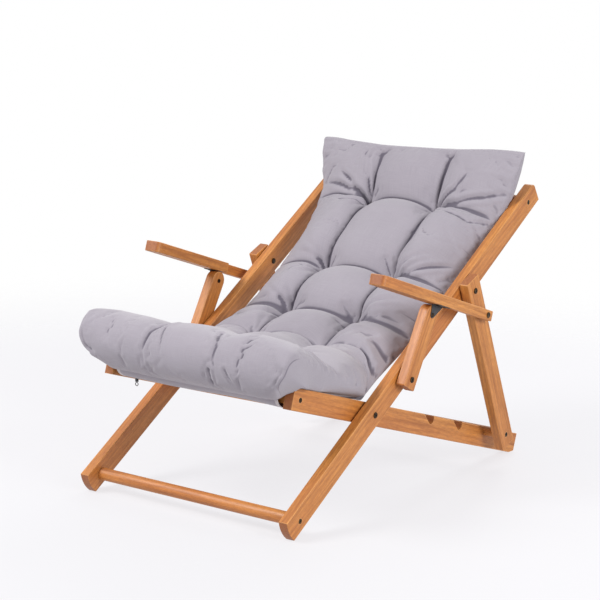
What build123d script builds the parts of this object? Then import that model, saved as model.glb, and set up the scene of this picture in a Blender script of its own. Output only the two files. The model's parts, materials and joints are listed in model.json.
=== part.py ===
from build123d import *
import os
from math import acos, asin, atan2, cos, degrees, hypot, radians, sin

# Folding wooden lounge chair: two long main rails, two rack rails that cross
# them, a prop frame whose bar drops into notches of the racks, two armrests on
# swinging posts, and one tufted pad that hangs from a top and a front dowel.
# X points to the sitter's left, the chair faces -Y, the floor is Z = 0.
# Sizes are in millimetres and angles in degrees.

# Stance, as the chair stands in its lowest reclined place
main_lean = 33.1
rack_drop = 16.65

# Timber sections
board_thickness = 22.0
main_width = 49.0
rack_width = 47.0
prop_width = 49.0
post_width = 42.0
arm_thickness = 23.0
arm_width = 42.0
arris_radius = 1.8

# Sideways build-up, from the middle outwards
frame_half_width = 276.0
rack_gap = 6.4
side_gap = 3.0
arm_gap = 2.6

# Reaches along the main rails, measured from the rack pivot
main_foot_reach = 341.5
foot_bulge = 4.5
main_top_reach = 754.0
top_corner_radius = 12.0
foot_dowel_reach = 307.0
foot_dowel_drop = 3.5
top_dowel_reach = 712.5
prop_pivot_reach = 405.0
post_pivot_reach = 115.5

# Rack rails, measured from the rack pivot
rack_front_reach = 261.0
front_bar_reach = 236.0
rack_rear_reach = 664.0
rack_foot_length = 20.0

# Prop frame, measured from the prop pivot
prop_bar_reach = 390.0
prop_top_reach = 28.5
prop_end_reach = 420.0
arm_pivot_reach = 60.0
prop_corner_radius = 3.0

# Notches of the racks: the bar's centre lies this far under the top edge
notch_count = 3
notch_pitch = 124.0
bar_sink = 8.0
notch_lead_in = 31.0
release_ramp = 106.0
notch_clearance = 0.3

# Arm posts and armrests
post_length = 147.0
post_lean = 61.7
post_foot_reach = 20.0
post_corner_radius = 3.0
arm_post_gap = 2.0
arm_front_reach = 235.0
arm_step_reach = 24.0
arm_rear_reach = 20.0
arm_corner_radius = 11.0
arm_step_radius = 5.0
arm_end_radius = 3.0

# Dowels and bars
dowel_diameter = 27.0
prop_bar_diameter = 21.6
dowel_socket = 9.0
socket_clearance = 0.1
seat_clearance = 0.05

# Pivot hardware
bolt_diameter = 8.0
bolt_head_diameter = 13.0
bolt_head_height = 1.8
hex_socket_across = 5.0
hex_socket_depth = 1.2
bolt_edge_radius = 0.6
nut_diameter = 13.0
nut_height = 2.0
nut_bore_depth = 1.0
nut_edge_radius = 0.6
running_clearance = 0.08
face_clearance = 0.25
washer_diameter = 18.0
spacer_diameter = 24.0
rivet_diameter = 5.0
rivet_head_diameter = 9.0
rivet_head_height = 1.2
rivet_edge_radius = 0.6

# Wood screws in the dowel ends
screw_head_diameter = 11.0
screw_head_height = 2.6
screw_shank_diameter = 4.2
screw_length = 46.0
screw_slot_width = 1.4
screw_slot_depth = 1.0

# Armrest brackets of sheet metal
bracket_sheet = 1.5
bracket_length = 45.0
bracket_front_reach = 10.0
bracket_flange_width = 18.0
bracket_eye_radius = 7.0
bracket_screw_diameter = 3.5
bracket_screw_length = 14.0
bracket_screw_head = 6.5
bracket_screw_head_height = 1.2
bracket_screw_inset = 9.0

# Pad: each station is a place along its rail, then how far its half width
# passes the main rails' inner faces, and the heights of underside, crown and
# tuft line over the line where the pad rests. Seat places count forwards from
# the racks' front ends, back places from the rack pivot
seat_stations = (
    (73.0, -4.0, 14.0, 56.0, 48.0),
    (55.0, 8.0, -16.0, 80.0, 70.0),
    (31.0, 8.0, -30.0, 93.0, 77.0),
    (3.0, 8.0, -30.0, 95.0, 76.0),
    (0.4, 8.0, 0.0, 95.0, 76.0),
    (-61.0, 8.0, 0.0, 90.0, 62.0),
    (-121.0, 8.0, 0.0, 80.0, 38.0),
    (-186.0, 8.0, 0.0, 100.0, 72.0),
    (-239.0, 8.0, 0.0, 114.0, 88.0),
    (-247.0, -10.0, 0.0, 116.0, 92.0),
    (-297.0, -10.0, 0.0, 132.0, 119.0),
)
back_stations = (
    (20.0, -10.0, 11.0, 108.0, 76.0),
    (100.0, -10.0, -7.0, 104.0, 66.0),
    (127.0, -10.0, -12.0, 94.0, 58.0),
    (185.0, -10.0, -22.0, 82.0, 48.0),
    (243.0, -10.0, -29.0, 52.0, 6.0),
    (330.0, -10.0, -36.0, 58.0, 30.0),
    (420.0, -10.0, -38.0, 32.0, -15.0),
    (520.0, -10.0, -32.0, 60.0, 28.0),
    (618.0, -10.0, -18.0, 68.0, 15.0),
    (690.0, -4.0, 0.0, 88.0, 62.0),
    (735.0, 3.0, 0.0, 99.0, 86.0),
    (757.0, -4.0, 28.0, 82.0, 74.0),
)
side_bulge = 6.0
pad_rest_gap = 0.4
pad_split_gap = 1.2
pad_split_angle = 62.9

# Shares of the half width between the rails
tuft_place_share = 0.362
zip_place_share = -0.72

# Shares of a section's height that shape its side, and of a dome's rise
base_inset_share = 0.2
shoulder_inset_share = 0.2
shoulder_height_share = 0.72
side_height_share = 0.42
outer_dome_share = 0.2

# Fabric sleeves sewn under the pad, and the zip at the front one's hem
sleeve_sheet = 2.0
sleeve_tip_gap = 0.3
sleeve_front_gap = 1.0
sleeve_low_slack = 2.5
top_sleeve_slack = 4.0
front_sleeve_end_gap = 12.5
top_sleeve_end_gap = 25.0
zip_slider_length = 11.0
zip_slider_width = 6.0
zip_slider_thickness = 4.0
zip_ring_diameter = 9.0
zip_ring_wire = 1.6
zip_gap = 0.5
cut_overrun = 5.0

# Counts and angles that don't scale
HEX_SIDES = 6
RIGHT_ANGLE = 90.0

# Faces of the side-by-side members, for the side at +X
main_outer = frame_half_width
main_inner = main_outer - board_thickness
rack_outer = main_inner - rack_gap
rack_inner = rack_outer - board_thickness
side_inner = main_outer + side_gap
side_outer = side_inner + board_thickness
arm_tongue_inner = side_outer + arm_gap
arm_outer = side_inner + arm_width
cutter_length = board_thickness + 2 * cut_overrun

# Pivots in the side view, as (y, z), with the rack pivot at y = 0. The lower
# corners of the main rails' feet stand on the floor
foot_drop = main_foot_reach * sin(radians(main_lean))
corner_drop = main_width / 2 * cos(radians(main_lean))
rack_pivot = (0.0, foot_drop + corner_drop)


def along(start, angle, reach, rise=0.0):
    """The point at a reach along a direction, and at a rise square to it."""
    a = radians(angle)
    y = start[0] + reach * cos(a) - rise * sin(a)
    z = start[1] + reach * sin(a) + rise * cos(a)
    return (y, z)


prop_pivot = along(rack_pivot, main_lean, prop_pivot_reach)
post_pivot = along(rack_pivot, main_lean, post_pivot_reach)

# The prop's bar lies in the last notch: its reach along the rack comes from
# the triangle of rack pivot, prop pivot and bar.
bar_rise = rack_width / 2 - bar_sink
pivot_along = prop_pivot_reach * cos(radians(main_lean + rack_drop))
pivot_rise = prop_pivot_reach * sin(radians(main_lean + rack_drop))
bar_reach = pivot_along + (prop_bar_reach**2 - (pivot_rise - bar_rise) ** 2) ** 0.5
prop_bar = along(rack_pivot, -rack_drop, bar_reach, bar_rise)
prop_angle = degrees(atan2(prop_bar[1] - prop_pivot[1], prop_bar[0] - prop_pivot[0]))
arm_pivot = along(prop_pivot, prop_angle, arm_pivot_reach)
arm_rivet = along(post_pivot, post_lean, post_length)
arm_reach = hypot(arm_pivot[0] - arm_rivet[0], arm_pivot[1] - arm_rivet[1])
foot_dowel_at = along(rack_pivot, main_lean, -foot_dowel_reach, -foot_dowel_drop)
top_dowel_at = along(rack_pivot, main_lean, top_dowel_reach)
front_bar_at = along(rack_pivot, -rack_drop, -front_bar_reach)


def side_board(outline, inner, thickness):
    """A board cut to a side-view outline, with its arrises rounded."""
    solid = Pos(inner, 0, 0) * extrude(Plane.YZ * outline, thickness)
    faces = solid.faces().sort_by(Axis.X)
    return fillet(faces[0].edges() + faces[-1].edges(), arris_radius)


def place(shape, pivot, angle=0.0):
    """Turn a shape about X and carry its origin to a pivot."""
    return Pos(0, pivot[0], pivot[1]) * Rot(angle, 0, 0) * shape


def mirrored(shape):
    """The same piece on the other side of the chair."""
    return mirror(shape, about=Plane.YZ)


def hole(pivot, diameter, inner, outer):
    """A round cutter along X at a pivot."""
    length = outer - inner
    centre = Pos((inner + outer) / 2, pivot[0], pivot[1])
    return centre * Rot(0, 90, 0) * Cylinder(diameter / 2, length)


def rod(pivot, diameter, inner, outer):
    """A round bar along X at a pivot."""
    return hole(pivot, diameter, inner, outer)


def group(shapes):
    """Several separate solids in one node."""
    solids = []
    for shape in shapes:
        solids.extend(shape.solids())
    return Compound(children=solids)


def both_sides(shape):
    """A fastener and its twin on the other side, in one node."""
    return group([shape, mirrored(shape)])


def through(pivot, bolt=bolt_diameter):
    """A clearance hole for a bolt, right through every board of one side."""
    reach_in = rack_inner - cut_overrun
    reach_out = arm_outer + cut_overrun
    return hole(pivot, bolt + 2 * running_clearance, reach_in, reach_out)


def socket(pivot, diameter, face):
    """A blind hole for a dowel end, sunk outwards from a board's inner face."""
    wide = diameter + 2 * socket_clearance
    return hole(pivot, wide, face - cut_overrun, face + dowel_socket)


def countersink(pivot, face):
    """The seat of a wood screw, driven inwards from an outer face."""
    spare = 2 * seat_clearance
    outer = face + cut_overrun
    head = hole(pivot, screw_head_diameter + spare, face - screw_head_height, outer)
    shank = hole(pivot, screw_shank_diameter + spare, face - screw_length, outer)
    return head + shank


def wood_screw(pivot, face):
    """A slotted wood screw whose head lies flush in its seat."""
    head = rod(pivot, screw_head_diameter, face - screw_head_height, face)
    shank = rod(pivot, screw_shank_diameter, face - screw_length, face)
    slot = Box(2 * screw_slot_depth, screw_head_diameter, screw_slot_width)
    return head + shank - Pos(face, pivot[0], pivot[1]) * slot


# Main rails

def main_outline():
    """Side view of a main rail: a shallow round foot and an eased front top corner."""
    half = main_width / 2
    front_foot = (-main_foot_reach, half)
    rear_foot = (-main_foot_reach, -half)
    foot = ThreePointArc(front_foot, (-main_foot_reach - foot_bulge, 0), rear_foot)
    sides = Polyline(rear_foot, (main_top_reach, -half), (main_top_reach, half), front_foot)
    body = make_face([foot, *sides.edges()])
    top_front = body.vertices().sort_by(Axis.X)[-2:].sort_by(Axis.Y)[-1]
    return fillet(top_front, top_corner_radius)


def main_rail():
    rail = place(side_board(main_outline(), main_inner, board_thickness), rack_pivot, main_lean)
    for pivot in (rack_pivot, prop_pivot, post_pivot):
        rail -= through(pivot)
    for centre in (foot_dowel_at, top_dowel_at):
        rail -= socket(centre, dowel_diameter, main_inner)
        rail -= countersink(centre, main_outer)
    return rail


def cross_dowel(pivot, diameter, board_face, screw_face):
    """A dowel between two boards, bored at both ends for its screws."""
    half_length = board_face + dowel_socket - socket_clearance
    dowel = rod(pivot, diameter, -half_length, half_length)
    seat = countersink(pivot, screw_face)
    return dowel - seat - mirrored(seat)


# Rack rails

def tangent_point(point, centre, radius, side):
    """Where a line from a point touches a circle; side is +1 or -1."""
    dx = point[0] - centre[0]
    dy = point[1] - centre[1]
    turn = atan2(dy, dx) + side * acos(radius / hypot(dx, dy))
    return (centre[0] + radius * cos(turn), centre[1] + radius * sin(turn))


def notch(reach, last):
    """Cutter for one notch: a round seat, a sloping front and a steep rear.

    The last notch has a long ramp at its rear instead, for the bar's way out.
    """
    top = rack_width / 2
    over = top + cut_overrun
    radius = prop_bar_diameter / 2 + notch_clearance
    centre = (reach, bar_rise)
    front = (reach - notch_lead_in, top)
    front_touch = tangent_point(front, centre, radius, 1)
    rear = (reach + (release_ramp if last else radius), top)
    if last:
        rear_touch = tangent_point(rear, centre, radius, -1)
    else:
        rear_touch = (reach + radius, bar_rise)
    points = [(front[0], over), front, front_touch, centre, rear_touch, rear, (rear[0], over)]
    return make_face(Polyline(*points, close=True)) + Pos(*centre) * Circle(radius)


def rack_outline():
    """Side view of a rack rail, from its square front to its foot on the floor."""
    half = rack_width / 2
    drop = radians(rack_drop)
    heel = (rack_pivot[1] - half * cos(drop)) / sin(drop)
    toe = (heel + rack_foot_length * cos(drop), rack_foot_length * sin(drop) - half)
    front_top = (-rack_front_reach, half)
    front_low = (-rack_front_reach, -half)
    rear_top = (rack_rear_reach, half)
    return make_face(Polyline(front_top, front_low, (heel, -half), toe, rear_top, close=True))


def rack_rail():
    board = side_board(rack_outline(), rack_inner, board_thickness)
    for steps in range(notch_count):
        outline = notch(bar_reach - steps * notch_pitch, steps == 0)
        board -= Pos(rack_inner - cut_overrun, 0, 0) * extrude(Plane.YZ * outline, cutter_length)
    rail = place(board, rack_pivot, -rack_drop) - through(rack_pivot)
    rail -= socket(front_bar_at, dowel_diameter, rack_inner)
    return rail - countersink(front_bar_at, rack_outer)


# Prop frame

def prop_rail():
    length = prop_top_reach + prop_end_reach
    middle = (prop_end_reach - prop_top_reach) / 2
    outline = Pos(middle, 0) * Rectangle(length, prop_width)
    outline = fillet(outline.vertices(), prop_corner_radius)
    board = side_board(outline, side_inner, board_thickness)
    rail = place(board, prop_pivot, prop_angle) - through(prop_pivot)
    rail -= socket(prop_bar, prop_bar_diameter, side_inner)
    return rail - countersink(prop_bar, side_outer)


# Arm posts

def arm_post():
    half = post_width / 2
    length = post_foot_reach + post_length
    shank = Pos((post_length - post_foot_reach) / 2, 0) * Rectangle(length, post_width)
    foot_corners = shank.vertices().sort_by(Axis.X)[:2]
    shank = fillet(foot_corners, post_corner_radius)
    outline = shank + Pos(post_length, 0) * Circle(half)
    board = side_board(outline, side_inner, board_thickness)
    post = place(board, post_pivot, post_lean) - through(post_pivot)
    return post - through(arm_rivet, rivet_diameter)


# Armrests, drawn level with the rivet at the origin. They clear the round post
# tops, and their slope puts the tail bolt in the middle of the slab

arm_low = post_width / 2 + arm_post_gap
arm_middle = arm_low + arm_thickness / 2
arm_fall = degrees(atan2(arm_rivet[1] - arm_pivot[1], arm_pivot[0] - arm_rivet[0]))
arm_slope = arm_fall + degrees(asin(arm_middle / arm_reach))
arm_tail = (arm_reach**2 - arm_middle**2) ** 0.5


def arm_local(shape):
    """Carry a shape drawn level at the rivet to the tilted armrest."""
    return place(shape, arm_rivet, -arm_slope)


def armrest():
    tail = arm_tail + arm_rear_reach
    wide_length = arm_front_reach + arm_step_reach
    wide = Pos((side_inner + arm_outer) / 2, arm_step_reach - wide_length / 2)
    board = wide * Rectangle(arm_width, wide_length)
    board = fillet(board.vertices().sort_by(Axis.Y)[:2], arm_corner_radius)
    tongue_width = arm_outer - arm_tongue_inner
    tongue = Pos(arm_tongue_inner + tongue_width / 2, tail / 2)
    plan = board + tongue * Rectangle(tongue_width, tail)
    step = Pos(arm_tongue_inner, arm_step_reach)
    near_step = plan.vertices().sort_by_distance(step.position)[0]
    plan = fillet(near_step, arm_step_radius)
    plan = fillet(plan.vertices().sort_by(Axis.Y)[-2:], arm_end_radius)
    slab = Pos(0, 0, arm_low) * extrude(plan, arm_thickness)
    rims = slab.faces().sort_by(Axis.Z)
    slab = fillet(rims[0].edges() + rims[-1].edges(), arris_radius)
    arm = arm_local(slab) - arm_bolt_hole()
    for at in bracket_screw_places():
        arm -= bracket_screw_hole(at)
    return arm


def arm_bolt_hole():
    wide = bolt_diameter + 2 * seat_clearance
    return hole(arm_pivot, wide, arm_tongue_inner - cut_overrun, arm_outer + cut_overrun)


def bracket_screw_places():
    """The two screws through a bracket's flange, in the level drawing."""
    middle = side_outer + face_clearance + bracket_flange_width / 2 + bracket_sheet / 2
    front = -bracket_front_reach + bracket_screw_inset
    rear = bracket_length - bracket_front_reach - bracket_screw_inset
    return [Pos(middle, y, arm_low) for y in (front, rear)]


def bracket_screw_hole(at):
    """A round cutter for a flange screw, centred on the armrest's underside."""
    radius = bracket_screw_diameter / 2 + seat_clearance
    return arm_local(at * Cylinder(radius, 2 * bracket_screw_length))


def arm_bracket():
    """A black angle: a flange under the armrest and a tapered ear at the rivet."""
    inner = side_outer + face_clearance
    rear = bracket_length - bracket_front_reach
    top = arm_low
    eye = bracket_eye_radius
    front = (-bracket_front_reach, top)
    back = (rear, top)
    front_touch = tangent_point(front, (0, 0), eye, 1)
    rear_touch = tangent_point(back, (0, 0), eye, -1)
    ear = make_face(Polyline(front, front_touch, rear_touch, back, close=True))
    ear = ear + Circle(eye)
    plate = Pos(inner, 0, 0) * extrude(Plane.YZ * ear, bracket_sheet)
    flange_middle = Pos(
        inner + (bracket_flange_width + bracket_sheet) / 2,
        bracket_length / 2 - bracket_front_reach,
        top - bracket_sheet / 2,
    )
    flange = flange_middle * Box(bracket_flange_width + bracket_sheet, bracket_length, bracket_sheet)
    bracket = arm_local(plate + flange) - through(arm_rivet, rivet_diameter)
    for at in bracket_screw_places():
        bracket -= bracket_screw_hole(at)
    return bracket


def bracket_screw(at):
    low = -bracket_sheet - bracket_screw_head_height
    head_middle = Pos(0, 0, -bracket_sheet - bracket_screw_head_height / 2)
    head = head_middle * Cylinder(bracket_screw_head / 2, bracket_screw_head_height)
    length = bracket_screw_length - low
    shank = Pos(0, 0, low + length / 2) * Cylinder(bracket_screw_diameter / 2, length)
    return arm_local(at * (head + shank))


# Pivot hardware

def pivot_bolt(pivot, face, nut_face):
    """A bolt from its low round head on an outer face to its nut inside."""
    head = rod(pivot, bolt_head_diameter, face, face + bolt_head_height)
    head = fillet(head.edges().sort_by(Axis.X)[-1], bolt_edge_radius)
    tip = nut_face - nut_bore_depth + seat_clearance
    shank = rod(pivot, bolt_diameter, tip, face)
    key = extrude(RegularPolygon(hex_socket_across / 2, HEX_SIDES), hex_socket_depth)
    floor = face + bolt_head_height - hex_socket_depth
    return head + shank - Pos(floor, pivot[0], pivot[1]) * Rot(0, 90, 0) * key


def cap_nut(pivot, face):
    """A low round nut against an inner face, closed at its end."""
    cap = rod(pivot, nut_diameter, face - nut_height, face)
    cap = fillet(cap.edges().sort_by(Axis.X)[0], nut_edge_radius)
    return cap - hole(pivot, bolt_diameter + 2 * seat_clearance, face - nut_bore_depth, face)


def ring(pivot, diameter, inner, outer):
    """A plain washer or spacer round a bolt."""
    body = rod(pivot, diameter, inner, outer)
    return body - hole(pivot, bolt_diameter + 2 * seat_clearance, inner, outer)


def arm_bolt():
    """The bolt through an armrest's tail, ending short of the prop."""
    head = rod(arm_pivot, bolt_head_diameter, arm_outer, arm_outer + bolt_head_height)
    head = fillet(head.edges().sort_by(Axis.X)[-1], bolt_edge_radius)
    return head + rod(arm_pivot, bolt_diameter, side_outer + face_clearance, arm_outer)


def arm_rivet_pin():
    """The rivet that hinges a bracket on its post."""
    inner = side_inner - face_clearance - rivet_head_height
    outer = side_outer + face_clearance + bracket_sheet
    shank = rod(arm_rivet, rivet_diameter, inner, outer)
    back = rod(arm_rivet, rivet_head_diameter, inner, side_inner - face_clearance)
    front = rod(arm_rivet, rivet_head_diameter, outer, outer + rivet_head_height)
    front = fillet(front.edges().sort_by(Axis.X)[-1], rivet_edge_radius)
    return shank + back + front


# Pad: lofted sections square to the rails, domed between the tuft lines

seat_rest = rack_width / 2 + pad_rest_gap
back_rest = dowel_diameter / 2 + pad_rest_gap


def pad_section(half_width, low, crown, valley):
    """One cross-section: a flat base, drawn-in sides and three domes on top."""
    height = crown - low
    base = half_width - base_inset_share * height
    shoulder = half_width - shoulder_inset_share * height
    shoulder_height = low + shoulder_height_share * height
    side = (half_width + side_bulge, low + side_height_share * height)
    tuft = tuft_place_share * main_inner
    dome = ((shoulder + tuft) / 2, crown - outer_dome_share * (crown - valley))
    right_side = ThreePointArc((base, low), side, (shoulder, shoulder_height))
    right_dome = ThreePointArc((shoulder, shoulder_height), dome, (tuft, valley))
    middle = ThreePointArc((tuft, valley), (0, crown), (-tuft, valley))
    left_dome = ThreePointArc((-tuft, valley), (-dome[0], dome[1]), (-shoulder, shoulder_height))
    left_side = ThreePointArc((-shoulder, shoulder_height), (-side[0], side[1]), (-base, low))
    bottom = Line((-base, low), (base, low))
    return make_face([bottom, right_side, right_dome, middle, left_dome, left_side])


def pad_loft(stations, rest, angle):
    """Loft a pad's sections along a rail that leaves the rack pivot."""
    faces = []
    for reach, widening, low, crown, valley in stations:
        upright = Plane(origin=(0, reach, rest), x_dir=(1, 0, 0), z_dir=(0, -1, 0))
        outline = upright * pad_section(main_inner + widening, low, crown, valley)
        faces.append(place(outline, rack_pivot, angle))
    return loft(faces, ruled=True)


def half_space(side):
    """All that lies to one side of the fold: side is -1 for the seat, +1 for the back."""
    size = 2 * main_top_reach
    block = Pos(0, side * (size + pad_split_gap) / 2, 0) * Box(size, size, size)
    return place(block, rack_pivot, pad_split_angle - RIGHT_ANGLE)


def seat_pad():
    """The seat half of the pad, resting on the racks and draped over their ends."""
    stations = [(-rack_front_reach - ahead, *sizes) for ahead, *sizes in seat_stations]
    return pad_loft(stations, seat_rest, -rack_drop) & half_space(-1)


def back_pad():
    """The back half of the pad, hung between the seat and the top dowel."""
    return pad_loft(back_stations, back_rest, main_lean) & half_space(1)


# Sleeves sewn under the pad, each one round a dowel

sleeve_inside = dowel_diameter / 2 + face_clearance
front_sleeve_low = sleeve_inside + sleeve_low_slack


def sleeve_outline(front, low, rear, top):
    """Side view of a sleeve round a dowel at the origin: a rounded bottom, open top."""
    front_quarter = EllipticalCenterArc((0, 0), front, low, 2 * RIGHT_ANGLE)
    rear_quarter = EllipticalCenterArc((0, 0), rear, low, 3 * RIGHT_ANGLE)
    rim = Polyline((rear, 0), (rear, top), (-front, top), (-front, 0))
    return make_face([front_quarter, rear_quarter, *rim.edges()])


def sleeve(front, low, rear, top, half_length):
    """A U-shaped fabric sleeve, given the inner reaches of its front, bottom and rear."""
    sheet = sleeve_sheet
    skin = sleeve_outline(front + sheet, low + sheet, rear + sheet, top)
    skin -= sleeve_outline(front, low, rear, top + cut_overrun)
    return Pos(-half_length, 0, 0) * extrude(Plane.YZ * skin, 2 * half_length)


def front_sleeve():
    """The sleeve round the front bar: loose in front, its rear close to the bar."""
    front = rack_front_reach - front_bar_reach - sleeve_front_gap - sleeve_sheet
    top = seat_rest - sleeve_tip_gap
    half_length = rack_inner - front_sleeve_end_gap
    body = sleeve(front, front_sleeve_low, sleeve_inside, top, half_length)
    return place(body, front_bar_at, -rack_drop)


def top_sleeve():
    """The sleeve round the top dowel, which the pad hangs from."""
    slack = sleeve_inside + top_sleeve_slack
    top = back_rest - sleeve_tip_gap
    half_length = main_inner - top_sleeve_end_gap
    return place(sleeve(slack, slack, slack, top, half_length), top_dowel_at, main_lean)


# Zip slider and its ring, hanging under the front sleeve

zip_place = zip_place_share * main_inner
zip_top = (front_bar_at[0], front_bar_at[1] - front_sleeve_low - sleeve_sheet)


def zip_slider():
    centre_z = zip_top[1] - zip_gap - zip_slider_length / 2
    body = Box(zip_slider_width, zip_slider_thickness, zip_slider_length)
    return Pos(zip_place, zip_top[0], centre_z) * body


def zip_ring():
    radius = (zip_ring_diameter - zip_ring_wire) / 2
    top = zip_top[1] - zip_gap - zip_slider_length - zip_gap
    centre = Pos(zip_place, zip_top[0], top - zip_ring_diameter / 2)
    return centre * Rot(90, 0, 0) * Torus(radius, zip_ring_wire / 2)


# Every node of the chair

main_left = main_rail()
rack_left = rack_rail()
prop_left = prop_rail()
post_left = arm_post()
arm_left = armrest()
bracket_left = arm_bracket()
bracket_screws_left = group([bracket_screw(at) for at in bracket_screw_places()])
rack_nut_face = rack_inner - face_clearance
side_nut_face = main_inner - face_clearance
post_bolt_left = pivot_bolt(post_pivot, side_outer, side_nut_face)
post_nut_left = cap_nut(post_pivot, side_nut_face)
arm_rivet_left = arm_rivet_pin()
arm_bolt_left = arm_bolt()
arm_washer_left = ring(arm_pivot, washer_diameter, side_outer + face_clearance, arm_tongue_inner)
rack_spacer = ring(rack_pivot, spacer_diameter, rack_outer + face_clearance, main_inner)
prop_washer = ring(prop_pivot, washer_diameter, main_outer, side_inner - face_clearance)
post_washer = ring(post_pivot, washer_diameter, main_outer, side_inner - face_clearance)

nodes = {
    "main_rail_left": main_left,
    "main_rail_right": mirrored(main_left),
    "foot_dowel": cross_dowel(foot_dowel_at, dowel_diameter, main_inner, main_outer),
    "foot_dowel_screws": both_sides(wood_screw(foot_dowel_at, main_outer)),
    "top_dowel": cross_dowel(top_dowel_at, dowel_diameter, main_inner, main_outer),
    "top_dowel_screws": both_sides(wood_screw(top_dowel_at, main_outer)),
    "rack_pivot_bolts": both_sides(pivot_bolt(rack_pivot, main_outer, rack_nut_face)),
    "rack_pivot_nuts": both_sides(cap_nut(rack_pivot, rack_nut_face)),
    "rack_pivot_spacers": both_sides(rack_spacer),
    "prop_pivot_washers": both_sides(prop_washer),
    "post_pivot_washers": both_sides(post_washer),
    "cushion_back": back_pad(),
    "top_sleeve": top_sleeve(),
    "rack_rail_left": rack_left,
    "rack_rail_right": mirrored(rack_left),
    "front_bar": cross_dowel(front_bar_at, dowel_diameter, rack_inner, rack_outer),
    "front_bar_screws": both_sides(wood_screw(front_bar_at, rack_outer)),
    "cushion_seat": seat_pad(),
    "front_sleeve": front_sleeve(),
    "zip_slider": zip_slider(),
    "zip_ring": zip_ring(),
    "prop_rail_left": prop_left,
    "prop_rail_right": mirrored(prop_left),
    "prop_bar": cross_dowel(prop_bar, prop_bar_diameter, side_inner, side_outer),
    "prop_bar_screws": both_sides(wood_screw(prop_bar, side_outer)),
    "prop_pivot_bolts": both_sides(pivot_bolt(prop_pivot, side_outer, side_nut_face)),
    "prop_pivot_nuts": both_sides(cap_nut(prop_pivot, side_nut_face)),
    "arm_post_left": post_left,
    "arm_post_right": mirrored(post_left),
    "post_bolt_left": post_bolt_left,
    "post_bolt_right": mirrored(post_bolt_left),
    "post_nut_left": post_nut_left,
    "post_nut_right": mirrored(post_nut_left),
    "armrest_left": arm_left,
    "armrest_right": mirrored(arm_left),
    "arm_bracket_left": bracket_left,
    "arm_bracket_right": mirrored(bracket_left),
    "bracket_screws_left": bracket_screws_left,
    "bracket_screws_right": mirrored(bracket_screws_left),
    "arm_rivet_left": arm_rivet_left,
    "arm_rivet_right": mirrored(arm_rivet_left),
    "arm_bolt_left": arm_bolt_left,
    "arm_bolt_right": mirrored(arm_bolt_left),
    "arm_washer_left": arm_washer_left,
    "arm_washer_right": mirrored(arm_washer_left),
}

# Carry the chair to its frame: the origin is under the middle of its box

boxes = [shape.bounding_box() for shape in nodes.values()]
front_most = min(box.min.Y for box in boxes)
rear_most = max(box.max.Y for box in boxes)
shift = -(front_most + rear_most) / 2

os.makedirs("parts", exist_ok=True)
for name, shape in nodes.items():
    export_step(Pos(0, shift, 0) * shape, f"parts/{name}.step")

print("nodes", len(nodes), "shift along Y", round(shift, 4))
print("length", round(rear_most - front_most, 1), "height", round(max(box.max.Z for box in boxes), 1))
for name, point in (
    ("rack pivot", rack_pivot),
    ("prop pivot", prop_pivot),
    ("post pivot", post_pivot),
    ("arm rivet", arm_rivet),
    ("arm pivot", arm_pivot),
    ("prop bar", prop_bar),
):
    print(name, "y", round(point[0] + shift, 4), "z", round(point[1], 4))
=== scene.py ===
# %% [markdown]
# # A folding lounge chair
# This script dresses a chair whose wooden frame is already built: rails, props, posts,
# armrests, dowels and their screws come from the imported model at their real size. What is
# left to make here is what a joiner and an upholsterer add: oiled wood, darkened brass,
# black brackets, and one long tufted pad that hangs in the frame by two sleeves.

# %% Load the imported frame
import json
from math import atan2, cos, degrees, pi, radians, sin, tau

import bpy
import numpy as np
from mathutils import Euler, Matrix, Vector


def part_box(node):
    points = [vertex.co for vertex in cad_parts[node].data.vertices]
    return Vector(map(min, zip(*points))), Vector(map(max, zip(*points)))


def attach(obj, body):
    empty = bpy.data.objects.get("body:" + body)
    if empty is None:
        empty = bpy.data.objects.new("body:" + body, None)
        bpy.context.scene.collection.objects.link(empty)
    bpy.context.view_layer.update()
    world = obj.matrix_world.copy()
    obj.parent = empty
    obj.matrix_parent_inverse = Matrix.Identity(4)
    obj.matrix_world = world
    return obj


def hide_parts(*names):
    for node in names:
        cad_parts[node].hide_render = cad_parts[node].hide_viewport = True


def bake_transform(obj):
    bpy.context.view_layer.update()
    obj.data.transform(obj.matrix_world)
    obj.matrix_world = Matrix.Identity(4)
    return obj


MM = 0.001
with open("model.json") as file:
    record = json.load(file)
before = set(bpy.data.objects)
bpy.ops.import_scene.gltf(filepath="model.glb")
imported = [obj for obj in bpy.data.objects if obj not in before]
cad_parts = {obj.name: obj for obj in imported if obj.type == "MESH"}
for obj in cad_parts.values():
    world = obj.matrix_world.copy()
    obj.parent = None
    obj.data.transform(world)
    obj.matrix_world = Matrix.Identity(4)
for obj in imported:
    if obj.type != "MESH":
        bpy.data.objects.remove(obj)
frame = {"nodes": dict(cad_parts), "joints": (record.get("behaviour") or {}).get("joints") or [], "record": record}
scene = bpy.context.scene
nodes = frame["nodes"]
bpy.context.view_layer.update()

# %% [markdown]
# ## Where the rails run
# Every place on the chair is easiest to say along a rail: so far from the pivot, so high
# over the rail's middle line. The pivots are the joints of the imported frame, and a rail's
# slope follows from two pivots on it, so nothing here is typed twice.

# %% Pivots and slopes
# The tail bolt sits above the middle line of its armrest by this angle, seen from the rivet.
BOLT_RISE = radians(10.0)
places = {joint["name"]: Vector(joint["pos_m"]) for joint in frame["joints"]}


def middle(node):
    """The middle of a node's box."""
    low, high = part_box(node)
    return (low + high) / 2


def slope(start, end):
    """The angle of a line in the side view, up from level towards the rear."""
    return atan2(end.z - start.z, end.y - start.y)


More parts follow.
